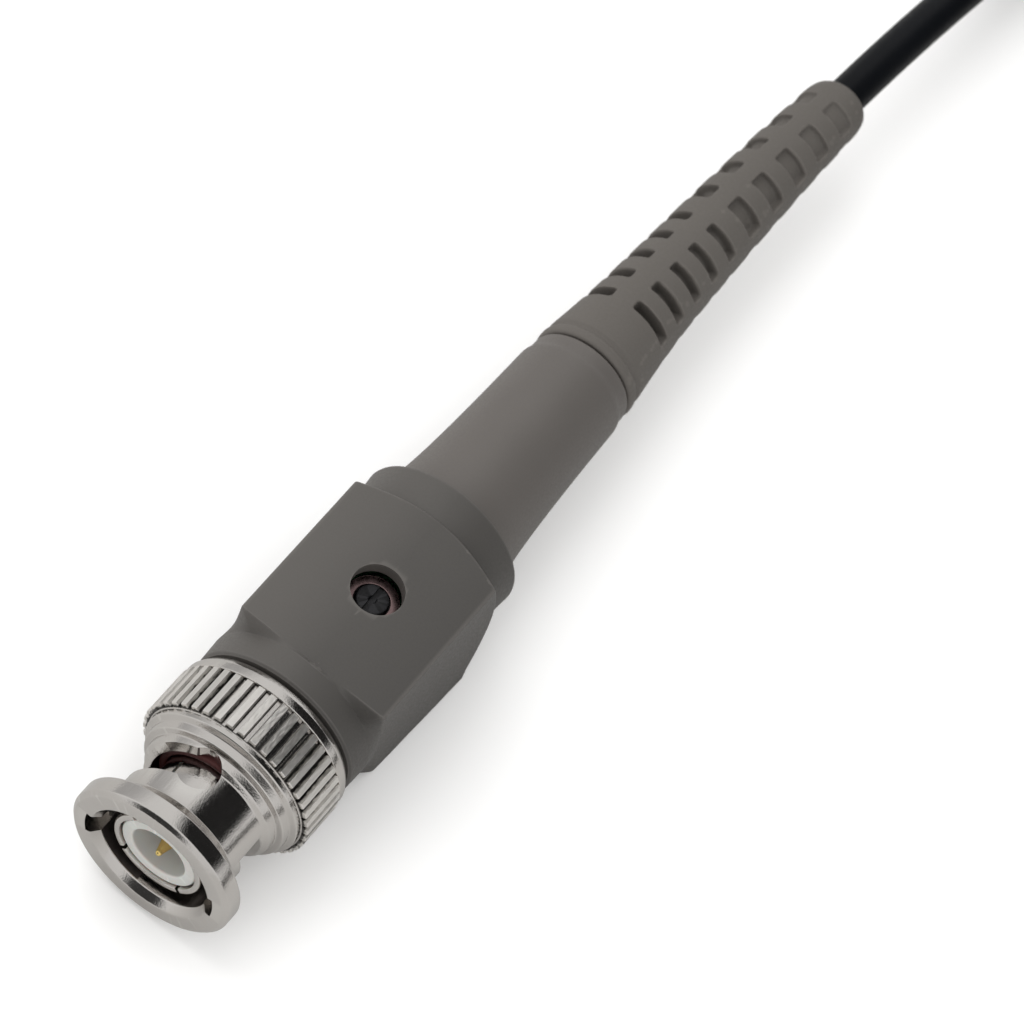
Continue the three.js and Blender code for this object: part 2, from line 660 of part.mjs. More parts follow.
function groundRing() {
  const ring = tube(LEAD_REACH - 1.5, LEAD_REACH + 1.5, 4.4, 3.4);
  const lug = block(3.2, 2.4, 2.4, 5.6, LEAD_REACH, 0);
  return union(ring, lug);
}

function groundWire() {
  const low = CLIP_FLOOR + 1.15;
  const curve = smoothCurve([
    new THREE.Vector3(7.5, LEAD_REACH, 0), new THREE.Vector3(10, LEAD_REACH, -0.5),
    new THREE.Vector3(15, LEAD_REACH + 1, low + 2), new THREE.Vector3(19.5, LEAD_REACH + 8, low + 0.3),
    new THREE.Vector3(22, LEAD_REACH + 24, low), new THREE.Vector3(22.4, LEAD_REACH + 44, low),
    new THREE.Vector3(CLIP_X + 0.6, CLIP_REACH - 13, low + 0.6),
    new THREE.Vector3(CLIP_X, CLIP_REACH - 5, BOOT_Z), new THREE.Vector3(CLIP_X, CLIP_REACH - 0.4, BOOT_Z),
  ]);
  return wire(curve, 1.1, 7, 40);
}

// The clip's own frame: y from its wire end to its teeth, z from the surface it lies on.
function teeth(from, count, base, tip) {
  const points = [];
  for (let i = 0; i < count; i += 1) points.push([from + 1.2 * i, base], [from + 1.2 * i + 0.6, tip]);
  return points;
}

function crossBar(radius, length) {
  const bar = new THREE.CylinderGeometry(radius, radius, length, 16).rotateZ(Math.PI / 2);
  return solid(bar.translate(0, PIVOT.y, PIVOT.z));
}

function lowerJaw() {
  const bar = sidePlate([[0.3, 0], [27, 0], [28.6, 1.2], [28.6, 2.6], ...teeth(20.2, 7, 1.7, 2.5).reverse(),
    [18, 1.2], [0.3, 1.2]], 3.4);
  const ear = [[9.6, 0.2], [14.4, 0.2], [13.4, 5.1], [10.6, 5.1]];
  const ears = [-1.95, 1.95].map((x) => sidePlate(ear, 0.5, x));
  return cut(union(bar, ...ears), crossBar(0.62, 8));
}

function upperJaw() {
  const bar = sidePlate([[0.6, 7.4], [2.0, 7.8], [10.2, 5.1], [13.8, 5.1], [20.5, 4.5], [28.2, 3.6],
    [28.6, 2.75], ...teeth(20.2, 7, 3.4, 2.65).reverse(), [18.6, 3.6], [13.6, 3.0], [10.4, 3.0]], 3.0);
  return cut(bar, crossBar(0.7, 8));
}

function clipPin() {
  const head = crossBar(0.95, 0.4);
  return union(crossBar(0.5, 4.7), head.translate(2.5, 0, 0), head.translate(-2.5, 0, 0));
}

function clipSpring() {
  const points = [];
  const turns = 4;
  for (let i = 0; i <= turns * 10; i += 1) {
    const angle = (i / 10) * FULL_TURN;
    const z = 1.55 + (0.9 * i) / (turns * 10);
    points.push(new THREE.Vector3(0.95 * Math.cos(angle), 7.2 + 0.95 * Math.sin(angle), z));
  }
  return wire(smoothCurve(points), 0.1, 5, 40);
}

function clipBoot() {
  return turned([[-6, 1.3], [-6, 1.9], [-5.2, 2.1], [0, 2.35], [0, 1.3]], 20);
}

function addGroundLead(group) {
  const clip = new THREE.Group();
  clip.position.set(CLIP_X, CLIP_REACH, CLIP_FLOOR);
  addPart(group, 'ground_ring', groundRing(), 'nickel');
  addPart(group, 'ground_wire', groundWire(), 'cableVinyl');
  addPart(clip, 'clip_lower_jaw', lowerJaw(), 'nickel');
  addPart(clip, 'clip_upper_jaw', upperJaw(), 'nickel');
  addPart(clip, 'clip_pin', clipPin(), 'springSteel');
  addPart(clip, 'clip_spring', clipSpring(), 'springSteel');
  addPart(clip, 'clip_boot', clipBoot().translate(0, 0, BOOT_Z - CLIP_FLOOR), 'blackPlastic');
  group.add(clip);
}

// ---------------------------------------------------------------- assembly

const plug = new THREE.Group();
plug.position.set(0, -BOX_CENTRE, AXIS_Z);
addPlug(plug);
addBox(plug);
addCableEnd(plug);

const head = new THREE.Group();
head.position.set(HEAD_X, HEAD_TIP_Y, HEAD_Z);
addHead(head);
addHook(head);
addGroundLead(head);

const probe = new THREE.Group();
probe.add(plug, head);

export default probe;
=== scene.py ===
# Looks of the oscilloscope probe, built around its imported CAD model.
# Metres, in the CAD's frame: the origin is under the compensation box, and the plug's mouth faces -Y.
# Most pieces are fine-grained versions of a CAD node, made from that node's own section or centre line.

import json
import math

import bmesh
import bpy
import numpy as np
from mathutils import Matrix, Vector

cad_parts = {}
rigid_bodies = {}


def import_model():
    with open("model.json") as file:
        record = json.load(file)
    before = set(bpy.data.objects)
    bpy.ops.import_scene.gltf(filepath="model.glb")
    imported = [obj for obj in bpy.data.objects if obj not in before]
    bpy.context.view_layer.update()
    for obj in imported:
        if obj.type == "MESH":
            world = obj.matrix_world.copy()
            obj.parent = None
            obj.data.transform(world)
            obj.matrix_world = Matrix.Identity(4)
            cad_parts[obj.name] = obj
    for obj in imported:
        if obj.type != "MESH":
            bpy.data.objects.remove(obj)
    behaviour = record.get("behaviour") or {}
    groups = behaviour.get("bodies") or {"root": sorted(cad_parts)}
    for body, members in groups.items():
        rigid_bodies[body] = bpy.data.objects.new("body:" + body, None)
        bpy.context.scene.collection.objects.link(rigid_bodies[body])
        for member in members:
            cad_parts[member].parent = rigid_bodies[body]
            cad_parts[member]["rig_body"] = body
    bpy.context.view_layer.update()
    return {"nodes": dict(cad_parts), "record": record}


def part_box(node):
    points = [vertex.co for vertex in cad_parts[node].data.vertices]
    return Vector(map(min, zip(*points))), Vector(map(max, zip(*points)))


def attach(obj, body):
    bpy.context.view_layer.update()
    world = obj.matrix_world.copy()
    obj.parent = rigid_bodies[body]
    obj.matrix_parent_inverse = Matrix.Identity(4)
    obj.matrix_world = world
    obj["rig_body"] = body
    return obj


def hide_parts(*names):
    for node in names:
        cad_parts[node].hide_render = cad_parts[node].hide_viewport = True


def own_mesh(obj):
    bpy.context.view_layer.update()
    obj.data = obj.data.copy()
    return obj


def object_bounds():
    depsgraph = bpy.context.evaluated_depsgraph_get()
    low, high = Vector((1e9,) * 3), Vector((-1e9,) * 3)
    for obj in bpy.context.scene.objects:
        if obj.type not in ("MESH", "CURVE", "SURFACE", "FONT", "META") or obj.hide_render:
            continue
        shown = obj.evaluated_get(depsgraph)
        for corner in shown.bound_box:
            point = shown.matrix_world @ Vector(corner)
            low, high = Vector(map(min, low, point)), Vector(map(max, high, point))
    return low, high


for default in list(bpy.data.objects):
    bpy.data.objects.remove(default)
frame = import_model()

MM = 0.001
WELD = 1e-7

# Plug, in millimetres behind its front face and degrees from the top towards +X.
KNURL_COUNT = 44
KNURL_ROOT = 7.2
BORE_REACH = 5.3               # nickel nearer to the axis than this, behind the mouth, gets a painted shade colour
KNURL_FRONT, KNURL_REAR = 9.25, 13.56
RIDGE_ANGLE = 38.05            # a half plane through the middle of a knurl ridge, clear of the slots
DETENT_ANGLE = -13
DETENT_RADIUS = 1.65            # round hole at the end of a bayonet slot
DETENT_STATION = 6.15
CAM_LEAD = 0.011                # how far a bayonet slot moves back in each degree
SLOT_SWEEP = 97
NOTCH_ANGLE = DETENT_ANGLE - 86

# Compensation box, in millimetres; stations as above.
BOX_CENTRE = 25.3
BOX_HALF = 7.0
BOX_TOP_HALF_WIDTH, UNDER_FRONT_HALF_WIDTH, UNDER_REAR_HALF_WIDTH = 6.85, 7.35, 8.15
BOX_FRONT, COLLAR_REAR, FLAT_FRONT, FLAT_REAR, BOX_REAR = 15.3, 17.6, 18.0, 34.3, 37.6
FRONT_SLANT = 3.0               # how much further back the underside of the box begins
FRONT_RADIUS = 7.4
BOX_WALL = 1.2
TRIMMER_STATION = 26.3
TRIMMER_HOLE = 2.16

# Strain relief.
RIB_ANGLE = -17
SLIT_START, SLIT_PITCH, SLIT_WIDTH, SLIT_FLOOR = 63.5, 2.75, 1.05, 2.5
POCKET_START, POCKET_PITCH, POCKET_WIDTH, POCKET_FLOOR = 78.1, 3.6, 1.7, 2.55
SLOTS_PER_KIND = 5


def centre_of(node):
    """Where the axis of a node that is turned about Y crosses x and z."""
    low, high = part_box(node)
    return (low.x + high.x) / 2, (low.z + high.z) / 2


PLUG_AXIS = centre_of("neck_sleeve")
HEAD_AXIS = centre_of("ground_barrel")
FRONT_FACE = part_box("coupling_nut")[0].y


def from_axis(point):
    return math.hypot(point.x - PLUG_AXIS[0], point.z - PLUG_AXIS[1])


def at_station(station):
    """The y of a place given in millimetres behind the plug's front face."""
    return FRONT_FACE + station * MM


# ---------------------------------------------------------------- shapes read from the frame

SWAPS = {"y": (0, 1, 2), "z": (0, 2, 1), "x": (1, 0, 2)}


def swapped(point, along):
    """Swaps coordinates so that the axis `along` becomes Y. Doing it twice changes nothing."""
    return Vector([point[i] for i in SWAPS[along]])


def merged_copy(node):
    mesh = bmesh.new()
    mesh.from_mesh(frame["nodes"][node].data)
    bmesh.ops.remove_doubles(mesh, verts=mesh.verts, dist=WELD)
    return mesh


def walk(links):
    """The vertices of one chain or ring, in order, from a dictionary of neighbours."""
    ends = [vertex for vertex, near in links.items() if len(near) == 1]
    path = [ends[0] if ends else next(iter(links))]
    seen = set(path)
    while True:
        onward = [vertex for vertex in links[path[-1]] if vertex not in seen]
        if not onward:
            return path, not ends
        path.append(onward[0])
        seen.add(onward[0])


def without_straights(points, closed):
    """Drops points that lie on a straight stretch or on their neighbour."""
    kept = []
    count = len(points)
    for i, here in enumerate(points):
        if not closed and i in (0, count - 1):
            kept.append(here)
            continue
        before, after = here - points[i - 1], points[(i + 1) % count] - here
        if min(np.linalg.norm(before), np.linalg.norm(after)) < 1e-6:
            continue
        bend = abs(before[0] * after[1] - before[1] * after[0])
        if bend > 0.004 * np.linalg.norm(before) * np.linalg.norm(after):
            kept.append(here)
    return kept


def half_section(node, axis, angle=0.3, along="y", drift=None):
    """Outline of a turned node in a half plane through its axis, as [distance, radius] points.

    The half plane is `angle` degrees from the top towards +X, which must miss cuts and seams."""
    mesh = merged_copy(node)
    for vertex in mesh.verts:
        vertex.co = swapped(vertex.co, along)
        if drift:
            vertex.co.x -= drift(vertex.co.y)
    turn = math.radians(angle)
    centre = Vector((axis[0], 0, axis[1]))
    outwards = Vector((math.sin(turn), 0, math.cos(turn)))
    across = Vector((math.cos(turn), 0, -math.sin(turn)))
    for normal in (outwards, across):
        everything = mesh.verts[:] + mesh.edges[:] + mesh.faces[:]
        cut = bmesh.ops.bisect_plane(mesh, geom=everything, dist=1e-9, plane_co=centre, plane_no=normal)
    links = {}
    for edge in cut["geom_cut"]:
        if not isinstance(edge, bmesh.types.BMEdge):
            continue
        a, b = edge.verts
        if min((a.co - centre).dot(outwards), (b.co - centre).dot(outwards)) > -WELD:
            links.setdefault(a, []).append(b)
            links.setdefault(b, []).append(a)
    path, closed = walk(links)
    points = [np.array([v.co.y, max(0.0, (v.co - centre).dot(outwards))]) for v in path]
    mesh.free()
    return without_straights(points, closed), closed


def centre_line(node, sides):
    """Middle points of a round bar that was swept with this many sides, from its first ring to its last."""
    mesh = merged_copy(node)
    flat = mesh.copy()
    bmesh.ops.dissolve_limit(flat, angle_limit=math.radians(0.2), verts=flat.verts, edges=flat.edges)
    caps = [face for face in flat.faces if len(face.verts) >= sides]
    cap = min(caps, key=lambda face: face.calc_center_median().y)
    starts = [vertex.co.copy() for vertex in cap.verts]
    flat.free()
    ring = [v for v in mesh.verts if min((v.co - start).length for start in starts) < 1e-6]
    seen = set(ring)
    middles = []
    while ring:
        middles.append(sum((v.co for v in ring), Vector()) / len(ring))
        ring = {edge.other_vert(v) for v in ring for edge in v.link_edges} - seen
        seen |= ring
    mesh.free()
    return middles


# ---------------------------------------------------------------- making meshes

def rounded(points, closed, radius):
    """Rounds an outline: sharp corners by a small radius, shallow ones into long smooth curves."""
    shallow = 26
    result = []
    count = len(points)
    for i, here in enumerate(points):
        if not closed and i in (0, count - 1):
            result.append(here)
            continue
        back, on = points[i - 1] - here, points[(i + 1) % count] - here
        back_length, on_length = np.linalg.norm(back), np.linalg.norm(on)
        cosine = -np.dot(back, on) / (back_length * on_length)
        turn = math.degrees(math.acos(max(-1.0, min(1.0, cosine))))
        room = 0.45 * min(back_length, on_length)
        reach = room if turn < shallow else min(radius, room)
        start, end = here + back * reach / back_length, here + on * reach / on_length
        steps = 3 if turn < shallow else 4
        for step in range(steps + 1):
            t = step / steps
            result.append(start * (1 - t) ** 2 + here * 2 * t * (1 - t) + end * t * t)
    return result


def even_angles(count):
    return [2 * math.pi * i / count for i in range(count)]


def grid_mesh(rings, wrap):
    """Vertices and quads from rings of equal length. wrap joins each ring's end to its start."""
    width = len(rings[0])
    verts = [point for ring in rings for point in ring]
    faces = []
    for i in range(len(rings)):
        after = (i + 1) % len(rings)
        for j in range(width if wrap else width - 1):
            k = (j + 1) % width
            faces.append((i * width + j, i * width + k, after * width + k, after * width + j))
    return verts, faces


def new_object(name, verts, faces):
    """A closed mesh object, with doubled vertices merged and its faces turned outwards."""
    mesh = bmesh.new()
    corners = [mesh.verts.new(point) for point in verts]
    for face in faces:
        mesh.faces.new([corners[i] for i in face])
    bmesh.ops.remove_doubles(mesh, verts=mesh.verts, dist=WELD)
    bmesh.ops.dissolve_degenerate(mesh, edges=mesh.edges, dist=WELD)
    bmesh.ops.recalc_face_normals(mesh, faces=mesh.faces)
    data = bpy.data.meshes.new(name)
    mesh.to_mesh(data)
    mesh.free()
    obj = bpy.data.objects.new(name, data)
    bpy.context.scene.collection.objects.link(obj)
    return obj


def revolved(name, points, closed, axis, angles, along="y", radius_at=None):
    """Turns an outline about an axis. radius_at(distance, radius, angle) may change the radius."""
    rings = []
    for angle in angles:
        ring = []
        for distance, radius in points:
            reach = radius_at(distance, radius, angle) if radius_at else radius
            x, z = axis[0] + reach * math.sin(angle), axis[1] + reach * math.cos(angle)
            ring.append(swapped((x, distance, z), along))
        rings.append(ring)
    verts, faces = grid_mesh(rings, closed)
    return new_object(name, verts, faces)


def apply_modifiers(obj):
    graph = bpy.context.evaluated_depsgraph_get()
    data = bpy.data.meshes.new_from_object(obj.evaluated_get(graph))
    obj.modifiers.clear()
    obj.data = data


def combine(obj, tools, operation="DIFFERENCE"):
    """Cuts the tools out of obj, or joins them to it, and removes the tools."""
    for tool in tools:
        modifier = obj.modifiers.new("combine", "BOOLEAN")
        modifier.operation = operation
        modifier.solver = "EXACT"
        modifier.object = tool
    apply_modifiers(obj)
    for tool in tools:
        bpy.data.objects.remove(tool)


def sector(inner, outer, from_angle, to_angle, start, end, steps=24, lead=0.0, lead_to=0.0):
    """A piece of a ring about the plug's axis: millimetres, stations, degrees from the top towards +X.

    It moves back by lead in each degree until the angle lead_to.
    """
    rings = []
    for i in range(steps + 1):
        degrees = from_angle + (to_angle - from_angle) * i / steps
        angle, shift = math.radians(degrees), lead * min(0.0, degrees - lead_to)
        ring = []
        for station, radius in ((start, inner), (end, inner), (end, outer), (start, outer)):
            x, z = radius * MM * math.sin(angle), radius * MM * math.cos(angle)
            ring.append((PLUG_AXIS[0] + x, at_station(station + shift), PLUG_AXIS[1] + z))
        rings.append(ring)
    verts, faces = grid_mesh(rings, True)
    faces = faces[:-4] + [(0, 1, 2, 3), tuple(len(verts) - 1 - i for i in range(4))]
    return new_object("sector", verts, faces)


def radial_plug(radius, low, high, station, angle, segments=40):
    """A short bar that points at the plug's axis. Millimetres."""
    outline = [np.array([low * MM, 0.0]), np.array([low * MM, radius * MM]),
               np.array([high * MM, radius * MM]), np.array([high * MM, 0.0])]
    bar = revolved("bar", outline, False, (0, 0), even_angles(segments), along="z")
    place = Matrix.Translation((PLUG_AXIS[0], at_station(station), PLUG_AXIS[1]))
    bar.data.transform(place @ Matrix.Rotation(math.radians(angle), 4, "Y"))
    return bar


def block(low, high):
    """A box between two corners, as a cutting tool."""
    size = Vector(high) - Vector(low)
    mesh = bmesh.new()
    bmesh.ops.create_cube(mesh, size=1.0)
    data = bpy.data.meshes.new("block")
    bmesh.ops.transform(mesh, matrix=Matrix.Diagonal((*size, 1.0)), verts=mesh.verts)
    bmesh.ops.translate(mesh, vec=(Vector(low) + Vector(high)) / 2, verts=mesh.verts)
    mesh.to_mesh(data)
    mesh.free()
    obj = bpy.data.objects.new("block", data)
    bpy.context.scene.collection.objects.link(obj)
    return obj


def smoothed_path(points, per_span):
    """A Catmull-Rom path through the points."""
    path = []
    padded = [2 * points[0] - points[1], *points, 2 * points[-1] - points[-2]]
    for a, b, c, d in zip(padded, padded[1:], padded[2:], padded[3:]):
        for i in range(per_span):
            t = i / per_span
            path.append(0.5 * (2 * b + (c - a) * t + (2 * a - 5 * b + 4 * c - d) * t * t
                               + (3 * b - a - 3 * c + d) * t ** 3))
    path.append(points[-1])
    return path


def swept(name, path, radius, sides):
    """A round bar with flat ends along a path, without twist."""
    ahead = [(b - a).normalized() for a, b in zip(path, path[1:])]
    ahead.append(ahead[-1])
    side = ahead[0].orthogonal().normalized()
    rings = []
    for i, (middle, forward) in enumerate(zip(path, ahead)):
        side = (side - side.dot(forward) * forward).normalized()
        up = forward.cross(side)
        at_end = i in (0, len(path) - 1)
        ring = []
        for angle in even_angles(sides):
            ring.append(middle + radius * (math.cos(angle) * side + math.sin(angle) * up))
        if at_end:
            rings.append([middle] * sides if i == 0 else ring)
            rings.append(ring if i == 0 else [middle] * sides)
        else:
            rings.append(ring)
    verts, faces = grid_mesh(rings, True)
    return new_object(name, verts, faces[:-sides])


def softened(node, width, angle=30):
    """A copy of a hard-edged CAD node with rounded edges."""
    mesh = merged_copy(node)
    bmesh.ops.dissolve_limit(mesh, angle_limit=math.radians(0.5), verts=mesh.verts, edges=mesh.edges)
    data = bpy.data.meshes.new(node + "_fine")
    mesh.to_mesh(data)
    mesh.free()
    obj = bpy.data.objects.new(node + "_fine", data)
    bpy.context.scene.collection.objects.link(obj)
    bevel = obj.modifiers.new("edges", "BEVEL")
    bevel.width = width
    bevel.segments = 3
    bevel.limit_method = "ANGLE"
    bevel.angle_limit = math.radians(angle)
    apply_modifiers(obj)
    return obj


# ---------------------------------------------------------------- materials

def add_node(tree, kind, inputs=None, **settings):
    made = tree.nodes.new("ShaderNode" + kind)
    for key, value in settings.items():
        setattr(made, key, value)
    for key, value in (inputs or {}).items():
        if isinstance(value, bpy.types.NodeSocket):
            tree.links.new(value, made.inputs[key])
        else:
            made.inputs[key].default_value = value
    return made


def noise(tree, coords, scale, detail=2.0):
    return add_node(tree, "TexNoise", {"Vector": coords, "Scale": scale, "Detail": detail}).outputs["Fac"]


def ramp(tree, value, from_low, from_high, to_low=0.0, to_high=1.0):
    inputs = {"Value": value, "From Min": from_low, "From Max": from_high, "To Min": to_low, "To Max": to_high}
    return add_node(tree, "MapRange", inputs).outputs["Result"]


def mix_colour(tree, amount, first, second):
    made = tree.nodes.new("ShaderNodeMix")
    made.data_type = "RGBA"
    for socket, value in ((made.inputs[0], amount), (made.inputs[6], first), (made.inputs[7], second)):
        if isinstance(value, bpy.types.NodeSocket):
            tree.links.new(value, socket)
        else:
            socket.default_value = value
    return made.outputs[2]


def scaled(colour, factor):
    return (*[min(1.0, part * factor) for part in colour], 1.0)


def surface(name, colour, roughness, metallic=0.0, mottle=0.06, mottle_scale=140, grain_scale=2600,
            grain=0.03, rough_spread=0.1, edge_wear_and_highlight=0.25, edge_wear_and_highlight_colour=None, scratches=0.0, specks=0.0, painted_side_shading=0.0,
            grooved=False, **extra):
    """A procedural material: mottled colour, fine grain, edges lightened partly by wear and partly as a painted
    highlight, and a few scratches.

    grain is the height of the fine relief in millimetres. The scales are repeats per metre.
    shaded paints light and shade: it makes the left side that much lighter and the right side that much darker.
    grooved paints shade on the floor of the knurl, darkening it."""
    material = bpy.data.materials.new(name)
    material.use_nodes = True
    tree = material.node_tree
    tree.nodes.clear()
    coords = add_node(tree, "TexCoord").outputs["Object"]
    broad = noise(tree, coords, mottle_scale, 4.0)
    drawn = coords
    if grooved:
        drawn = add_node(tree, "Mapping", {"Vector": coords, "Scale": (1.0, 0.3, 1.0)}).outputs["Vector"]
    fine = noise(tree, drawn, grain_scale, 3.0)
    base = mix_colour(tree, ramp(tree, broad, 0.3, 0.7), scaled(colour, 1 - mottle), scaled(colour, 1 + mottle))
    # Painted light and shade: the left side's colour is lightened and the right side's darkened.
    if painted_side_shading:
        across = add_node(tree, "SeparateXYZ", {0: coords}).outputs["X"]
        side = ramp(tree, across, -0.006, 0.006)
        base = mix_colour(tree, side, base, scaled(colour, 1 - 1.4 * painted_side_shading))
        painted_light_left = ramp(tree, across, -0.007, 0.0, 1.0, 0.0)
        base = mix_colour(tree, painted_light_left, base, scaled(colour, 1 + painted_side_shading))
    if specks:
        spots = add_node(tree, "TexVoronoi", {"Vector": coords, "Scale": 420.0}).outputs["Distance"]
        chosen = noise(tree, coords, 260, 1.0)
        mask = add_node(tree, "Math", {0: ramp(tree, spots, 0.09, 0.05), 1: ramp(tree, chosen, 0.6, 0.66)},
                        operation="MULTIPLY").outputs[0]
        mask = add_node(tree, "Math", {0: mask, 1: specks}, operation="MULTIPLY").outputs[0]
        base = mix_colour(tree, mask, base, scaled(colour, 2.2))
    # Edges lightened by pointiness: partly real wear, partly a painted edge highlight.
    edges = add_node(tree, "NewGeometry").outputs["Pointiness"]
    wear_and_painted_highlight = ramp(tree, edges, 0.51, 0.54, 0.0, edge_wear_and_highlight)
    base = mix_colour(tree, wear_and_painted_highlight, base, scaled(edge_wear_and_highlight_colour or colour, 1.0 if edge_wear_and_highlight_colour else 1.6))
    if grooved:
        across = add_node(tree, "VectorMath", {0: coords, 1: (1.0, 0.0, 1.0)}, operation="MULTIPLY").outputs[0]
        reach = add_node(tree, "VectorMath", {0: across, 1: (PLUG_AXIS[0], 0.0, PLUG_AXIS[1])},
                         operation="DISTANCE").outputs["Value"]
        reach = add_node(tree, "Math", {0: fine, 1: 0.5 * MM, 2: reach}, operation="MULTIPLY_ADD").outputs[0]
        # Painted shade: the knurl's groove floor is darkened to a tenth of the colour.
        base = mix_colour(tree, ramp(tree, reach, 7.62 * MM, 7.74 * MM), scaled(colour, 0.10), base)
    rough = ramp(tree, fine, 0.25, 0.75, roughness - rough_spread, roughness + rough_spread)
    height = fine
    if scratches:
        stretched = add_node(tree, "Mapping", {"Vector": coords, "Rotation": (0.3, 0.2, 0.7),
                                               "Scale": (900.0, 40.0, 900.0)}).outputs["Vector"]
        lines = noise(tree, stretched, 1.0, 1.0)
        marks = ramp(tree, lines, 0.68, 0.72, 0.0, scratches)
        height = add_node(tree, "Math", {0: fine, 1: marks}, operation="SUBTRACT").outputs[0]
    bump = add_node(tree, "Bump", {"Height": height, "Strength": 1.0, "Distance": grain * MM}).outputs["Normal"]
    inputs = {"Base Color": base, "Roughness": rough, "Metallic": metallic, "Normal": bump}
    shader = add_node(tree, "BsdfPrincipled", {**inputs, **extra})
    output = add_node(tree, "OutputMaterial")
    tree.links.new(shader.outputs[0], output.inputs[0])
    return material


def make_materials():
    steel = (0.62, 0.61, 0.59)
    return {
        "nickel": surface("nickel", (0.62, 0.597, 0.575), 0.12, 1.0, grain_scale=7500, grain=0.010,
                          rough_spread=0.05, edge_wear_and_highlight=0.5, edge_wear_and_highlight_colour=(0.80, 0.78, 0.75), scratches=0.3),
        "knurl_nickel": surface("knurl_nickel", (0.80, 0.775, 0.74), 0.40, 1.0, grain_scale=5600, grain=0.050,
                                rough_spread=0.1, edge_wear_and_highlight=0.6, edge_wear_and_highlight_colour=(0.85, 0.83, 0.80), grooved=True),
        # Painted shade: a nickel far darker than the plating, for the bore of the plug where shade falls.
        "painted_shade_nickel": surface("painted_shade_nickel", (0.10, 0.085, 0.08), 0.4, 1.0, grain=0.01, edge_wear_and_highlight=0.2),
        "spring_steel": surface("spring_steel", steel, 0.3, 1.0, grain=0.004),
        "silicone": surface("silicone", (0.05, 0.008, 0.007), 0.6, grain=0.02),
        # The fluoropolymer is about half as light as its own white: painted shade for the insulator deep in its
        # cup.
        "fluoropolymer": surface("fluoropolymer", (0.45, 0.45, 0.43), 0.42, mottle=0.03, grain=0.006, edge_wear_and_highlight=0.3,
                                 **{"Subsurface Weight": 0.2, "Subsurface Scale": 0.0010}),
        "gold": surface("gold", (0.86, 0.60, 0.22), 0.14, 1.0, grain=0.003, rough_spread=0.05),
        # The copper is darker than bright copper: partly the plate's own purple-brown tone, partly painted shade
        # for the deep trimmer hole.
        "copper": surface("copper", (0.26, 0.18, 0.18), 0.28, 1.0, mottle=0.25, mottle_scale=900, grain=0.006),
        "tinned_steel": surface("tinned_steel", steel, 0.35, 1.0, grain=0.006),
        # The shaded amounts paint light on the plastics' left side and shade on their right.
        "box_plastic": surface("box_plastic", (0.072, 0.067, 0.062), 0.5, grain_scale=5200, grain=0.006,
                               edge_wear_and_highlight=0.45, scratches=0.3, specks=0.9, painted_side_shading=0.22),
        "neck_plastic": surface("neck_plastic", (0.098, 0.089, 0.082), 0.48, grain_scale=5200, grain=0.005,
                                edge_wear_and_highlight=0.3, scratches=0.15, painted_side_shading=0.12),
        "relief_rubber": surface("relief_rubber", (0.096, 0.087, 0.078), 0.66, grain_scale=4200, grain=0.012,
                                 edge_wear_and_highlight=0.25, painted_side_shading=0.1),
        "black_plastic": surface("black_plastic", (0.006, 0.006, 0.007), 0.45, grain_scale=4200, grain=0.008,
                                 edge_wear_and_highlight=0.35, edge_wear_and_highlight_colour=(0.05, 0.05, 0.055), **{"Specular IOR Level": 0.3}),
        "cable_vinyl": surface("cable_vinyl", (0.003, 0.0036, 0.0050), 0.42, mottle=0.15, mottle_scale=60,
                               grain_scale=2600, grain=0.008, edge_wear_and_highlight=0.0, **{"Specular IOR Level": 0.13}),
        "laminate": surface("laminate", (0.03, 0.11, 0.05), 0.4, grain=0.01),
        "ceramic": surface("ceramic", (0.48, 0.26, 0.11), 0.45, grain=0.01),
    }


MATERIALS = make_materials()
SLOT_OF = {part["node"]: part["material_slot"] for part in frame["record"]["subparts"]}


def finish_piece(obj, node, look=None):
    """Gives a piece its material, shading and name, and lets it stand for its CAD node."""
    obj.name = node + "_fine"
    slot = SLOT_OF[node]
    obj.data.materials.clear()
    obj.data.materials.append(MATERIALS[look or slot])
    obj.data.polygons.foreach_set("use_smooth", [True] * len(obj.data.polygons))
    obj.data.set_sharp_from_angle(angle=math.radians(38))
    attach(obj, frame["nodes"][node]["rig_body"])
    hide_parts(node)
    return obj


# ---------------------------------------------------------------- bayonet plug

def ridge_height(angle):
    """How high the knurl stands at an angle from the top, from 0 in a groove to 1 on a ridge."""
    fraction = ((math.pi / 2 - angle) * KNURL_COUNT / (2 * math.pi)) % 1
    return float(np.interp(fraction, [0.0, 0.11, 0.60, 0.71, 1.0], [0.0, 1.0, 1.0, 0.0, 0.0]))


def knurl_angles():
    pitch = 2 * math.pi / KNURL_COUNT
    fractions = (0.0, 0.04, 0.08, 0.11, 0.15, 0.35, 0.56, 0.60, 0.64, 0.68, 0.71, 0.86)
    return [math.pi / 2 - (i + fraction) * pitch for i in range(KNURL_COUNT) for fraction in fractions]


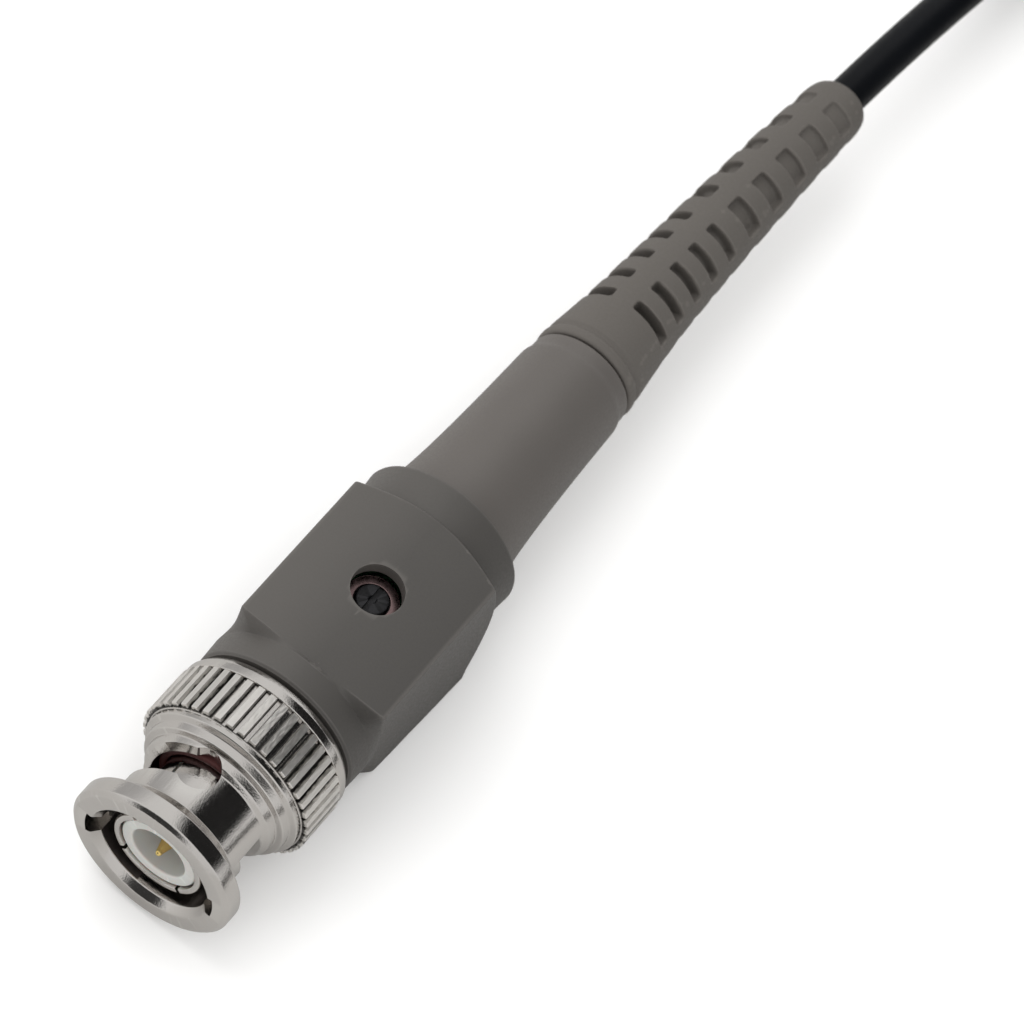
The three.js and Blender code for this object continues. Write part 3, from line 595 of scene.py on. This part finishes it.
def make_coupling_nut():
    points, closed = half_section("coupling_nut", PLUG_AXIS, RIDGE_ANGLE)
    root = KNURL_ROOT * MM

    def knurled(y, radius, angle):
        station = (y - FRONT_FACE) / MM
        if radius < root or not KNURL_FRONT < station < KNURL_REAR:
            return radius
        return root + (radius - root) * ridge_height(angle)

    nut = revolved("nut", rounded(points, closed, 0.1 * MM), closed, PLUG_AXIS, knurl_angles(),
                   radius_at=knurled)
    for turn in (0, 180):
        notch, detent = NOTCH_ANGLE + turn, DETENT_ANGLE + turn
        combine(nut, [
            sector(4.5, 5.9, notch - 12, notch + 12, -0.5, 1.95),
            sector(4.4, 5.15, notch - 11, notch + 11, 1.5, 6.0),
            sector(4.3, 6.8, detent - SLOT_SWEEP, detent, 5.05, 7.5, 60, CAM_LEAD, detent),
            radial_plug(DETENT_RADIUS, 4.2, 7.4, DETENT_STATION, detent),
        ])
    finish_piece(nut, "coupling_nut")
    nut.data.materials.append(MATERIALS["knurl_nickel"])
    nut.data.materials.append(MATERIALS["painted_shade_nickel"])
    # The knurl gets knurl_nickel; the bore gets painted_shade_nickel, a painted shade darker than the plating.
    for face in nut.data.polygons:
        station = (face.center.y - FRONT_FACE) / MM
        reach = from_axis(face.center)
        if reach > root and KNURL_FRONT < station < KNURL_REAR - 0.05:
            face.material_index = 1
        elif reach < BORE_REACH * MM and station > 4 and abs(face.normal.y) < 0.9:
            face.material_index = 2


def make_outer_contact():
    points, closed = half_section("outer_contact", PLUG_AXIS)
    contact = revolved("contact", rounded(points, closed, 0.08 * MM), closed, PLUG_AXIS, even_angles(128))
    reach = 5 * MM
    slits = []
    for angle in (45, 135):
        slit = block((-0.17 * MM, at_station(0.5), -reach), (0.17 * MM, at_station(6.9), reach))
        slit.data.transform(Matrix.Translation((PLUG_AXIS[0], 0, PLUG_AXIS[1]))
                            @ Matrix.Rotation(math.radians(angle), 4, "Y"))
        slits.append(slit)
    combine(contact, slits)
    return finish_piece(contact, "outer_contact")


def make_turned(node, axis, segments=96, corner=0.12, angle=0.3, along="y"):
    points, closed = half_section(node, axis, angle, along)
    piece = revolved(node, rounded(points, closed, corner * MM), closed, axis, even_angles(segments), along)
    return piece


# ---------------------------------------------------------------- compensation box

def soft_minimum(a, b, sharpness=110):
    return (a ** -sharpness + b ** -sharpness) ** (-1 / sharpness)


def four_sided_point(station, angle):
    """Radius and height of the box's rounded four-sided section, in millimetres."""
    x, z = math.sin(angle), math.cos(angle)
    along = (max(station, FLAT_FRONT) - FLAT_FRONT) / (FLAT_REAR - FLAT_FRONT)
    under = UNDER_FRONT_HALF_WIDTH + (UNDER_REAR_HALF_WIDTH - UNDER_FRONT_HALF_WIDTH) * along
    lean = (under - BOX_TOP_HALF_WIDTH) / (2 * BOX_HALF)
    middle = (under + BOX_TOP_HALF_WIDTH) / 2
    to_side = middle / max(1e-3, abs(x) + z * lean)
    to_flat = BOX_HALF / max(1e-3, abs(z))
    radius = soft_minimum(to_side, to_flat)
    return radius, radius * z


def eased(value, softness=0.05):
    """Clamps to 0..1 with softly rounded ends."""
    low = 0.5 * (value + math.sqrt(value * value + softness * softness))
    high = 1 - low
    return 1 - 0.5 * (high + math.sqrt(high * high + softness * softness))


def box_radius(station, angle):
    """Radius of the box's outside: turned in front, four-sided in the middle, turned at the back."""
    corner_station = FLAT_REAR - 1.7
    corner_radius = math.hypot(BOX_HALF, BOX_TOP_HALF_WIDTH)
    four_sided, height = four_sided_point(station, angle)
    flat_front = FLAT_FRONT + FRONT_SLANT * (BOX_HALF - height) / (2 * BOX_HALF)
    amount = eased((station - COLLAR_REAR) / (flat_front - COLLAR_REAR))
    front = float(np.interp(station, [BOX_FRONT, BOX_FRONT + 0.2, COLLAR_REAR], [7.1, 7.32, FRONT_RADIUS]))
    body = front + (four_sided - front) * amount
    cone = float(np.interp(station, [corner_station - 0.2, corner_station, FLAT_REAR, FLAT_REAR + 0.25],
                           [11.0, corner_radius, BOX_HALF, 6.5]))
    collar = float(np.interp(station, [FLAT_REAR - 0.3, BOX_REAR - 0.3, BOX_REAR - 0.1, BOX_REAR],
                             [6.85, 7.15, 7.08, 6.85]))
    chamfered = soft_minimum(body, cone)
    return max(chamfered, collar) if station > FLAT_REAR - 3 else chamfered


def make_box_shell():
    stations = np.concatenate([
        np.arange(BOX_FRONT, FLAT_FRONT + 0.3, 0.06),
        np.arange(FLAT_FRONT + 0.36, FLAT_FRONT + FRONT_SLANT + 0.4, 0.12),
        np.arange(FLAT_FRONT + FRONT_SLANT + 0.8, FLAT_REAR - 2.6, 0.7),
        np.arange(FLAT_REAR - 2.5, BOX_REAR, 0.08),
        [BOX_REAR],
    ])
    angles = even_angles(384)
    rings = []
    for angle in angles:
        outline = [(stations[0], 0.0)] + [(s, box_radius(s, angle)) for s in stations] + [(stations[-1], 0.0)]
        ring = []
        for station, radius in outline:
            x, z = radius * MM * math.sin(angle), radius * MM * math.cos(angle)
            ring.append((PLUG_AXIS[0] + x, at_station(station), PLUG_AXIS[1] + z))
        rings.append(ring)
    verts, faces = grid_mesh(rings, False)
    shell = new_object("box", verts, faces)
    inner = (BOX_HALF - BOX_WALL) * MM
    centre_z = PLUG_AXIS[1]
    combine(shell, [
        block((-inner, at_station(19.6), centre_z - inner), (inner, at_station(33.8), centre_z + inner)),
        bore(4.05, BOX_FRONT - 1, 20),
        bore(5.6, 33, BOX_REAR + 1),
        radial_plug(TRIMMER_HOLE, 3, 8, TRIMMER_STATION, 0, segments=96),
    ])
    return finish_piece(shell, "box_shell")


def bore(radius, start, end, segments=96):
    outline = [np.array([at_station(start), 0.0]), np.array([at_station(start), radius * MM]),
               np.array([at_station(end), radius * MM]), np.array([at_station(end), 0.0])]
    return revolved("bore", outline, False, PLUG_AXIS, even_angles(segments))


# ---------------------------------------------------------------- strain relief and cable

CABLE_LINE = centre_line("cable_jacket", 8)
NEAR_LINE = list(zip(*[(p.y, p.x - PLUG_AXIS[0]) for p in CABLE_LINE[:24] if p.y < at_station(112)]))


def cable_drift(y):
    """How far the cable's centre line has moved sideways at y, inside the strain relief."""
    return float(np.interp(y, *NEAR_LINE))


def make_strain_relief():
    points, closed = half_section("strain_relief", PLUG_AXIS, RIB_ANGLE + 0.3, drift=cable_drift)
    relief = revolved("relief", rounded(points, closed, 0.25 * MM), closed, PLUG_AXIS, even_angles(160))
    slots = []
    for i in range(SLOTS_PER_KIND):
        slots.append((SLIT_START + SLIT_PITCH * i, SLIT_WIDTH, SLIT_FLOOR))
        slots.append((POCKET_START + POCKET_PITCH * i, POCKET_WIDTH, POCKET_FLOOR))
    tools = []
    for station, width, floor in slots:
        for row in range(4):
            middle = RIB_ANGLE + 45 + 90 * row
            tools.append(sector(floor, 6, middle - 30, middle + 30, station - width / 2, station + width / 2, 8))
    bpy.ops.object.select_all(action="DESELECT")
    for tool in tools:
        tool.select_set(True)
    bpy.context.view_layer.objects.active = tools[0]
    bpy.ops.object.join()
    combine(relief, [tools[0]])
    remesh = relief.modifiers.new("soft", "REMESH")
    remesh.mode = "VOXEL"
    remesh.voxel_size = 0.13 * MM
    smooth = relief.modifiers.new("smooth", "SMOOTH")
    smooth.factor = 0.5
    smooth.iterations = 4
    apply_modifiers(relief)
    for vertex in relief.data.vertices:
        vertex.co.x += cable_drift(vertex.co.y)
    return finish_piece(relief, "strain_relief")


def make_bar(node, radius, sides, per_span=4, fine_sides=24):
    """A fine version of a node that is a round bar, modelled with this many sides, along a curve."""
    path = smoothed_path(centre_line(node, sides), per_span)
    return swept(node, path, radius * MM, fine_sides)


# ---------------------------------------------------------------- probe head and ground lead

def make_head_barrel():
    barrel = make_turned("head_barrel", HEAD_AXIS, 128, 0.3, angle=90.3)
    low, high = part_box("range_switch")
    travel, play = 3.5 * MM, 0.5 * MM
    side = 0.3 * MM
    window = block((low.x - side, low.y - play, HEAD_AXIS[1] + 3 * MM),
                   (high.x + side, low.y + 7.5 * MM + travel + play, HEAD_AXIS[1] + 9 * MM))
    bevel = window.modifiers.new("edges", "BEVEL")
    bevel.width = 0.5 * MM
    bevel.segments = 5
    apply_modifiers(window)
    combine(barrel, [window])
    return finish_piece(barrel, "head_barrel")


def make_ground_ring():
    ring = make_turned("ground_ring", HEAD_AXIS, 96, 0.25, angle=-89.7)
    low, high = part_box("ground_ring")
    lug = block((high.x - 3.3 * MM, low.y + 0.3 * MM, HEAD_AXIS[1] - 1.2 * MM),
                (high.x, high.y - 0.3 * MM, HEAD_AXIS[1] + 1.2 * MM))
    bevel = lug.modifiers.new("edges", "BEVEL")
    bevel.width = 0.3 * MM
    bevel.segments = 3
    apply_modifiers(lug)
    combine(ring, [lug], "UNION")
    return finish_piece(ring, "ground_ring")


def make_trimmer():
    axis = (PLUG_AXIS[0], at_station(TRIMMER_STATION))
    for node, angle in (("trimmer_base", 0.3), ("trimmer_plate", 0.3)):
        finish_piece(make_turned(node, axis, 64, 0.08, angle, "z"), node)
    rotor = make_turned("trimmer_rotor", axis, 64, 0.15, 45.3, "z")
    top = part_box("trimmer_rotor")[1].z
    slot = block((axis[0] - 0.22 * MM, axis[1] - 2 * MM, top - 0.45 * MM),
                 (axis[0] + 0.22 * MM, axis[1] + 2 * MM, top + 1 * MM))
    combine(rotor, [slot])
    finish_piece(rotor, "trimmer_rotor")
    even = rotor.modifiers.new("Even shading", "WEIGHTED_NORMAL")
    even.keep_sharp = True


def make_clip_pin():
    low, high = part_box("clip_pin")
    axis = ((low.y + high.y) / 2, (low.z + high.z) / 2)
    return finish_piece(make_turned("clip_pin", axis, 48, 0.1, 0.3, "x"), "clip_pin")


def make_springs():
    """Fine versions of the two springs and the spring washer, each with a mesh of its own."""
    hook_spring = finish_piece(make_bar("hook_spring", 0.25, 4, fine_sides=12), "hook_spring")
    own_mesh(hook_spring)
    clip_spring = finish_piece(make_bar("clip_spring", 0.1, 5, fine_sides=12), "clip_spring")
    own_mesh(clip_spring)
    wave = finish_piece(softened("spring_washer", 0.04 * MM), "spring_washer")
    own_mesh(wave)


def make_everything():
    make_coupling_nut()
    make_outer_contact()
    for node, corner in (("plug_insulator", 0.2), ("centre_pin", 0.12), ("plug_body", 0.1),
                         ("plug_gasket", 0.2), ("thrust_washer", 0.05)):
        finish_piece(make_turned(node, PLUG_AXIS, 128, corner), node)
    make_box_shell()
    make_trimmer()
    finish_piece(make_turned("neck_sleeve", PLUG_AXIS, 192, 0.25), "neck_sleeve")
    make_strain_relief()
    finish_piece(make_bar("cable_jacket", 1.75, 8, fine_sides=32), "cable_jacket")
    make_head_barrel()
    for node, corner in (("head_strain_relief", 0.25), ("nose_cone", 0.2), ("probe_needle", 0.1),
                         ("ground_barrel", 0.15), ("hook_body", 0.2), ("hook_sleeve", 0.35)):
        finish_piece(make_turned(node, HEAD_AXIS, 112, corner), node)
    finish_piece(make_bar("hook_wire", 0.45, 8), "hook_wire")
    make_springs()
    make_ground_ring()
    finish_piece(make_bar("ground_wire", 1.1, 7), "ground_wire")
    low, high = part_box("clip_boot")
    boot_axis = ((low.x + high.x) / 2, (low.z + high.z) / 2)
    finish_piece(make_turned("clip_boot", boot_axis, 64, 0.4), "clip_boot")
    make_clip_pin()
    for node in ("clip_lower_jaw", "clip_upper_jaw"):
        finish_piece(softened(node, 0.12 * MM), node)
    finish_piece(softened("range_switch", 0.2 * MM), "range_switch")


def dress_plain_nodes():
    """Gives every CAD node that is still shown its own material."""
    for name, obj in frame["nodes"].items():
        obj.data.materials.clear()
        obj.data.materials.append(MATERIALS[SLOT_OF[name]])


# ---------------------------------------------------------------- stage

def make_floor():
    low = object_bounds()[0]
    half = 4.0
    z = low[2] - 0.02 * MM
    mesh = bpy.data.meshes.new("floor")
    mesh.from_pydata([(-half, -half, z), (half, -half, z), (half, half, z), (-half, half, z)], [],
                     [(0, 1, 2, 3)])
    floor = bpy.data.objects.new("floor", mesh)
    bpy.context.scene.collection.objects.link(floor)
    material = bpy.data.materials.new("floor")
    material.use_nodes = True
    shader = material.node_tree.nodes["Principled BSDF"]
    glossy = add_node(material.node_tree, "LightPath").outputs["Is Glossy Ray"]
    colour = mix_colour(material.node_tree, glossy, (0.96, 0.96, 0.96, 1), (0.5, 0.495, 0.485, 1))
    material.node_tree.links.new(colour, shader.inputs["Base Color"])
    shader.inputs["Roughness"].default_value = 0.9
    shader.inputs["Specular IOR Level"].default_value = 0.1
    mesh.materials.append(material)


def dark_card(tree, direction, towards, inner, outer, level):
    """1 all round, falling to level within a cone. inner and outer are in degrees from its middle."""
    facing = add_node(tree, "VectorMath", {0: direction, 1: Vector(towards).normalized()},
                      operation="DOT_PRODUCT").outputs["Value"]
    return ramp(tree, facing, math.cos(math.radians(inner)), math.cos(math.radians(outer)), level, 1.0)


def multiplied(tree, first, second):
    return add_node(tree, "Math", {0: first, 1: second}, operation="MULTIPLY").outputs[0]


def make_studio():
    """A white studio. Bright metal also sees its darker sides and two dark cards, as crisp bands."""
    world = bpy.data.worlds.new("studio")
    bpy.context.scene.world = world
    world.use_nodes = True
    tree = world.node_tree
    tree.nodes.clear()
    direction = add_node(tree, "TexCoord").outputs["Generated"]
    left = add_node(tree, "VectorMath", {0: direction, 1: Vector((-0.62, 0.35, 0.70)).normalized()},
                    operation="DOT_PRODUCT").outputs["Value"]
    seen = ramp(tree, left, -0.9, 0.9, 0.74, 0.80)
    seen = multiplied(tree, seen, dark_card(tree, direction, (-0.86, 0.50, 0.05), 15, 40, 0.6))
    seen = multiplied(tree, seen, dark_card(tree, direction, (0.54, 0.52, 0.66), 27, 38, 0.015))
    seen = multiplied(tree, seen, dark_card(tree, direction, (-0.25, -0.85, 0.45), 20, 32, 0.05))
    glossy = add_node(tree, "LightPath").outputs["Is Glossy Ray"]
    seen = add_node(tree, "Mix", {0: glossy, 2: 1.15, 3: seen}).outputs[0]
    background = add_node(tree, "Background", {"Color": (1.0, 0.995, 0.985, 1.0), "Strength": seen})
    output = add_node(tree, "OutputWorld")
    tree.links.new(background.outputs[0], output.inputs["Surface"])


def add_softbox(name, place, target, size, power):
    light = bpy.data.lights.new(name, "AREA")
    light.shape = "DISK"
    light.size = size
    light.energy = power
    obj = bpy.data.objects.new(name, light)
    obj.visible_glossy = False
    obj.location = place
    obj.rotation_euler = (Vector(target) - Vector(place)).to_track_quat("-Z", "Y").to_euler()
    bpy.context.scene.collection.objects.link(obj)


def make_camera():
    """Looks down at the plug from in front, rolled so that the plug runs from corner to corner."""
    azimuth, elevation, roll = math.radians(9.94), math.radians(58.45), math.radians(29.64)
    target = Vector((3.03, 17.94, 7.0)) * MM
    distance = 316.6 * MM
    turn = (Matrix.Rotation(azimuth, 4, "Z") @ Matrix.Rotation(math.pi / 2 - elevation, 4, "X")
            @ Matrix.Rotation(roll, 4, "Z"))
    data = bpy.data.cameras.new("camera")
    data.lens = 140.6
    data.sensor_width = 36
    data.clip_start = 0.01
    data.clip_end = 20
    camera = bpy.data.objects.new("camera", data)
    camera.matrix_world = Matrix.Translation(target + turn @ Vector((0, 0, distance))) @ turn
    bpy.context.scene.collection.objects.link(camera)
    bpy.context.scene.camera = camera
    focus = bpy.data.objects.new("focus", None)
    focus.location = (PLUG_AXIS[0], at_station(14), PLUG_AXIS[1] + 5 * MM)
    bpy.context.scene.collection.objects.link(focus)
    data.dof.use_dof = True
    data.dof.focus_object = focus
    data.dof.aperture_fstop = 90


make_everything()
dress_plain_nodes()
make_floor()
make_studio()
add_softbox("key", (-0.5, 0.1, 0.8), (0, 0.02, 0), 0.8, 3)
make_camera()
bpy.context.scene.view_settings.view_transform = "Standard"
